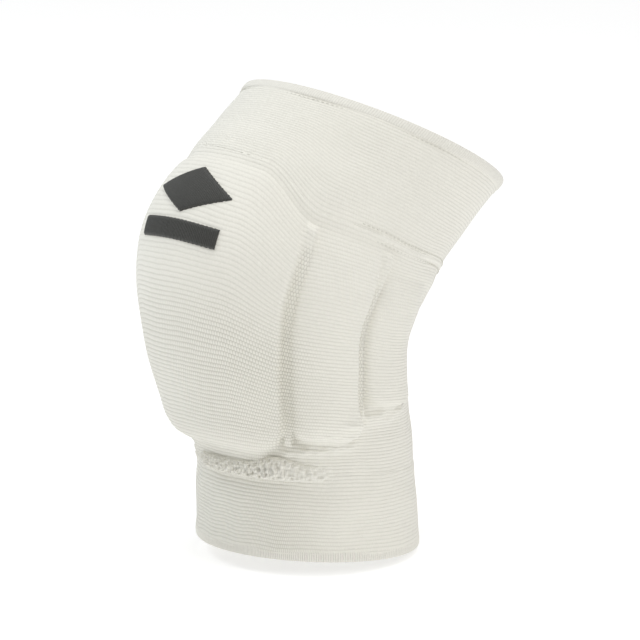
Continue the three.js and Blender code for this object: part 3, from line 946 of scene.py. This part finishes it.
# %% [markdown]
# ## Materials
# Every finish is a few nodes on the surface's own UV map or on its place in space. The knit is off-white
# cotton: very rough, with a soft sheen from its loose fibres, and painted shade darkens it between its
# loops.
# It also reads from its points how tight it is, and where it is stretched open over a groove.

# %% Node helpers


def new_material(name):
    material = bpy.data.materials.new(name)
    material.use_nodes = True
    tree = material.node_tree
    return material, tree, tree.nodes["Principled BSDF"]


def maths(tree, operation, first, second=None):
    node = tree.nodes.new("ShaderNodeMath")
    node.operation = operation
    for socket, value in zip(node.inputs, (first, second)):
        if value is None:
            continue
        if isinstance(value, (int, float)):
            socket.default_value = value
        else:
            tree.links.new(value, socket)
    return node.outputs[0]


def noise(tree, vector, scale, detail, roughness=0.55):
    node = tree.nodes.new("ShaderNodeTexNoise")
    node.inputs["Scale"].default_value = scale
    node.inputs["Detail"].default_value = detail
    node.inputs["Roughness"].default_value = roughness
    tree.links.new(vector, node.inputs["Vector"])
    return node.outputs["Fac"]


def blend_colours(tree, factor, first, second):
    node = tree.nodes.new("ShaderNodeMix")
    node.data_type = "RGBA"
    tree.links.new(factor, node.inputs["Factor"])
    for socket, value in ((node.inputs[6], first), (node.inputs[7], second)):
        if isinstance(value, tuple):
            socket.default_value = (*value, 1)
        else:
            tree.links.new(value, socket)
    return node.outputs[2]


def in_range(tree, value, low, high, to_low=0.0, to_high=1.0):
    node = tree.nodes.new("ShaderNodeMapRange")
    for socket, number in zip(node.inputs[1:5], (low, high, to_low, to_high)):
        socket.default_value = number
    tree.links.new(value, node.inputs[0])
    return node.outputs[0]


def attribute(tree, name):
    node = tree.nodes.new("ShaderNodeAttribute")
    node.attribute_name = name
    return node.outputs["Fac"]


def ridges(tree, operation, value):
    return maths(tree, "ABSOLUTE", maths(tree, operation, maths(tree, "MULTIPLY", value, math.pi)))


def raise_surface(tree, shader, height, strength, depth):
    bump = tree.nodes.new("ShaderNodeBump")
    bump.inputs["Strength"].default_value = strength
    bump.inputs["Distance"].default_value = depth * MM
    tree.links.new(height, bump.inputs["Height"])
    tree.links.new(bump.outputs[0], shader.inputs["Normal"])


# %% The knit's material
WALE = 1.35
FUZZ, HOLE_SHADE, SPECK_SHADE = 0.45, 0.3, 0.16


def knit_material(name, light, dark, loop_depth, wale=WALE, courses=True):
    material, tree, shader = new_material(name)
    uv = tree.nodes.new("ShaderNodeUVMap")
    uv.uv_map = "knit"
    place = tree.nodes.new("ShaderNodeTexCoord").outputs["Object"]
    split = tree.nodes.new("ShaderNodeSeparateXYZ")
    tree.links.new(uv.outputs["UV"], split.inputs[0])
    wales = maths(tree, "DIVIDE", maths(tree, "MULTIPLY", split.outputs[0], UV_TILE), wale)
    course = maths(tree, "DIVIDE", maths(tree, "MULTIPLY", split.outputs[1], UV_TILE), COURSE)
    tight, opened = attribute(tree, "tension"), attribute(tree, "stretched")
    if courses:
        # the loops of one course stand between those of the next
        odd = maths(tree, "PINGPONG", maths(tree, "FLOOR", maths(tree, "ADD", course, 0.5)), 1)
        loops = ridges(tree, "SINE", maths(tree, "ADD", wales, maths(tree, "MULTIPLY", odd, 0.5)))
        # slack knit shows its courses, and tight knit the loops in them too
        seen = maths(tree, "MAXIMUM", in_range(tree, tight, 0.35, 1.0, 0.4, 1.0), opened)
        loops = maths(tree, "SUBTRACT", 1, maths(tree, "MULTIPLY", seen, maths(tree, "SUBTRACT", 1, loops)))
        ridge = ridges(tree, "COSINE", course)
    else:
        # a hem shows only its fine upright stitches
        loops = ridges(tree, "SINE", wales)
        ridge = maths(tree, "MAXIMUM", 1, 1)
    stitch = maths(tree, "MULTIPLY", maths(tree, "POWER", loops, 0.6), maths(tree, "POWER", ridge, 0.5))
    fuzz = maths(tree, "MULTIPLY", noise(tree, place, 1500, 3, 0.6), FUZZ)
    raise_surface(tree, shader, maths(tree, "ADD", stitch, fuzz), 0.7, loop_depth)
    wear = in_range(tree, noise(tree, place, 28, 4), 0.35, 0.7)
    body = blend_colours(tree, wear, light, tuple(0.97 * c for c in light))
    # painted shade: the colour goes towards the dark one down between the courses and the loops, where shade
    # falls, and more where the knit is tight
    between_courses = in_range(tree, ridge, 0.0, 0.55, 0.6, 0.0)
    between_loops = in_range(tree, stitch, 0.0, 0.75, 1.0, 0.0)
    painted_hollow_shade = maths(tree, "MAXIMUM", between_courses, between_loops)
    painted_hollow_shade = maths(tree, "MULTIPLY", painted_hollow_shade, in_range(tree, tight, 0.0, 1.0, 0.25, 1.1))
    shaded = blend_colours(tree, painted_hollow_shade, body, dark)
    # over a groove the knit is stretched open, and the leg's shade shows in small holes between its loops
    hole = maths(tree, "MULTIPLY", in_range(tree, stitch, 0.25, 0.6, 1.0, 0.0), opened)
    shade = tuple(0.7 * c for c in dark)
    open_knit = blend_colours(tree, maths(tree, "MULTIPLY", hole, HOLE_SHADE), shaded, shade)
    specks = in_range(tree, noise(tree, place, 900, 2, 0.6), 0.3, 0.7, SPECK_SHADE, 0.0)
    tree.links.new(blend_colours(tree, specks, open_knit, dark), shader.inputs["Base Color"])
    shader.inputs["Roughness"].default_value = 0.95
    shader.inputs["Specular IOR Level"].default_value = 0.2
    shader.inputs["Sheen Weight"].default_value = 0.25
    shader.inputs["Sheen Roughness"].default_value = 0.5
    return material


rib_width = PAD_RADIUS * TURN / HEM_RIBS
# each knit's second colour is its painted shade between loops and courses and in the holes over the grooves,
# and the tone of its dark specks
knit = knit_material("ribbed_knit", (0.862, 0.846, 0.776), (0.6, 0.585, 0.515), 0.3)
hem_knit = knit_material("hem_knit", (0.855, 0.84, 0.775), (0.5, 0.485, 0.43), 0.25, rib_width, False)
gathered_knit = knit_material("gathered_knit", (0.88, 0.864, 0.795), (0.68, 0.665, 0.6), 0.22)
for piece in (knee_panel, calf_cuff, thigh_cuff):
    piece.data.materials.append(knit)
for piece in (calf_hem, thigh_hem):
    piece.data.materials.append(hem_knit)
for piece in (upper_seam, lower_seam):
    piece.data.materials.append(gathered_knit)

# %% Foam, sewing thread and satin thread


def foam_material():
    material, tree, shader = new_material("soft_foam")
    place = tree.nodes.new("ShaderNodeTexCoord").outputs["Object"]
    cells = tree.nodes.new("ShaderNodeTexVoronoi")
    cells.inputs["Scale"].default_value = 1300
    tree.links.new(place, cells.inputs["Vector"])
    raise_surface(tree, shader, cells.outputs["Distance"], 0.42, 0.25)
    tint = in_range(tree, noise(tree, place, 45, 4), 0.35, 0.7)
    colour = blend_colours(tree, tint, (0.80, 0.79, 0.73), (0.74, 0.73, 0.66))
    tree.links.new(colour, shader.inputs["Base Color"])
    shader.inputs["Roughness"].default_value = 0.9
    shader.inputs["Subsurface Weight"].default_value = 0.15
    shader.inputs["Subsurface Radius"].default_value = (0.004, 0.003, 0.002)
    return material


def thread_material(name, light, dark, roughness, sheen):
    material, tree, shader = new_material(name)
    place = tree.nodes.new("ShaderNodeTexCoord").outputs["Object"]
    strands = noise(tree, place, 2400, 2)
    raise_surface(tree, shader, strands, 0.4, 0.08)
    colour = blend_colours(tree, in_range(tree, strands, 0.3, 0.7), dark, light)
    tree.links.new(colour, shader.inputs["Base Color"])
    shader.inputs["Roughness"].default_value = roughness
    shader.inputs["Sheen Weight"].default_value = sheen
    return material


foam = foam_material()
sewing = thread_material("sewing_thread", (0.80, 0.785, 0.72), (0.58, 0.57, 0.5), 0.7, 0.2)
satin = thread_material("satin_thread", (0.05, 0.05, 0.043), (0.018, 0.018, 0.016), 0.5, 0.1)
for piece in pads.values():
    piece.data.materials.append(foam)
for line in stitch_lines:
    line.data.materials.append(sewing)
for piece in (diamond, bar):
    piece.data.materials.append(satin)

# %% [markdown]
# ## What each piece is
# Each piece is listed with the plain solid that it stands for, which is hidden, and the name of a finish.
# The knit pieces are sheets that the leg stretches. The pads are foam.

# %% Pieces and the solids that they stand for
STANDS_FOR = [
    (knee_panel, "knee_panel", "knit"), (calf_cuff, "calf_cuff", "knit"), (thigh_cuff, "thigh_cuff", "knit"),
    (calf_hem, "calf_hem", "hem_knit"), (thigh_hem, "thigh_hem", "hem_knit"),
    (upper_seam, "upper_seam", "hem_knit"), (lower_seam, "lower_seam", "hem_knit"),
    (diamond, "front_diamond", "thread"), (bar, "front_bar", "thread"),
    *[(piece, node, "foam") for node, piece in pads.items()],
]
for piece, node, finish in STANDS_FOR:
    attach(piece, "root")
    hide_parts(node)
for line in stitch_lines:
    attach(line, "root")

# %% [markdown]
# ## Light, floor and camera
# The knee pad stands on a plain pale floor that reaches far behind it, as in a product photographer's
# studio, under large soft lights. A long lens from a distance keeps its proportions true.

# %% Floor and backdrop
FLOOR_SIZE, UNDER_PAD = 14, 0.0006
FLOOR = cad_box[0][2] - UNDER_PAD
bpy.ops.object.select_all(action="DESELECT")
bpy.ops.mesh.primitive_plane_add(size=1, location=(0, 0, FLOOR))
floor = bpy.context.active_object
floor.name = "studio_floor"
change_all(bpy.ops.transform.resize, value=(FLOOR_SIZE, FLOOR_SIZE, 1))
paper, _, shader = new_material("pale_paper")
shader.inputs["Base Color"].default_value = (0.62, 0.62, 0.617, 1)
shader.inputs["Roughness"].default_value = 0.8
shader.inputs["Emission Color"].default_value = (1, 1, 1, 1)
shader.inputs["Emission Strength"].default_value = 0.56
floor.data.materials.append(paper)

# %% Lights
world = bpy.data.worlds.new("studio")
bpy.context.scene.world = world
world.use_nodes = True
world.node_tree.nodes["Background"].inputs["Color"].default_value = (1, 1, 1, 1)
world.node_tree.nodes["Background"].inputs["Strength"].default_value = 0.5
bpy.context.scene.view_settings.view_transform = "Standard"


def soft_light(name, place, size, power, colour):
    data = bpy.data.lights.new(name, "AREA")
    data.shape, data.size, data.energy, data.color = "SQUARE", size, power, colour
    light = new_object(name, data)
    light.location = place
    light.rotation_euler = (-Vector(place)).to_track_quat("-Z", "Y").to_euler()


soft_light("key", (-1.4, -1.3, 2.25), 1.0, 17, (0.94, 0.98, 1))
soft_light("side", (1.8, -0.2, 1.5), 1.0, 7, (1, 0.965, 0.9))
soft_light("top", (0.3, 0.1, 2.0), 0.9, 14, (0.98, 0.99, 1))
soft_light("fill", (-1.7, -1.0, 0.35), 1.2, 3.2, (0.72, 0.87, 1))

# %% Camera
# the lens is as long as 4600 pixels of a picture that is 640 wide
SENSOR, LENS_PIXELS, PICTURE_PIXELS = 36, 4600, 640
AIM = Vector((0.0009, 0.0217, -0.0088))
AZIMUTH, ELEVATION, DISTANCE = math.radians(48), math.radians(12), 2.3
sideways, backwards = math.sin(AZIMUTH) * math.cos(ELEVATION), -math.cos(AZIMUTH) * math.cos(ELEVATION)
away = Vector((sideways, backwards, math.sin(ELEVATION)))
camera_data = bpy.data.cameras.new("camera")
camera_data.sensor_width = SENSOR
camera_data.lens = LENS_PIXELS / PICTURE_PIXELS * SENSOR
camera = new_object("camera", camera_data)
camera.location = AIM + away * DISTANCE
camera.rotation_euler = (-away).to_track_quat("-Z", "Y").to_euler()
bpy.context.scene.camera = camera
print("camera at", [round(v, 3) for v in camera.location])
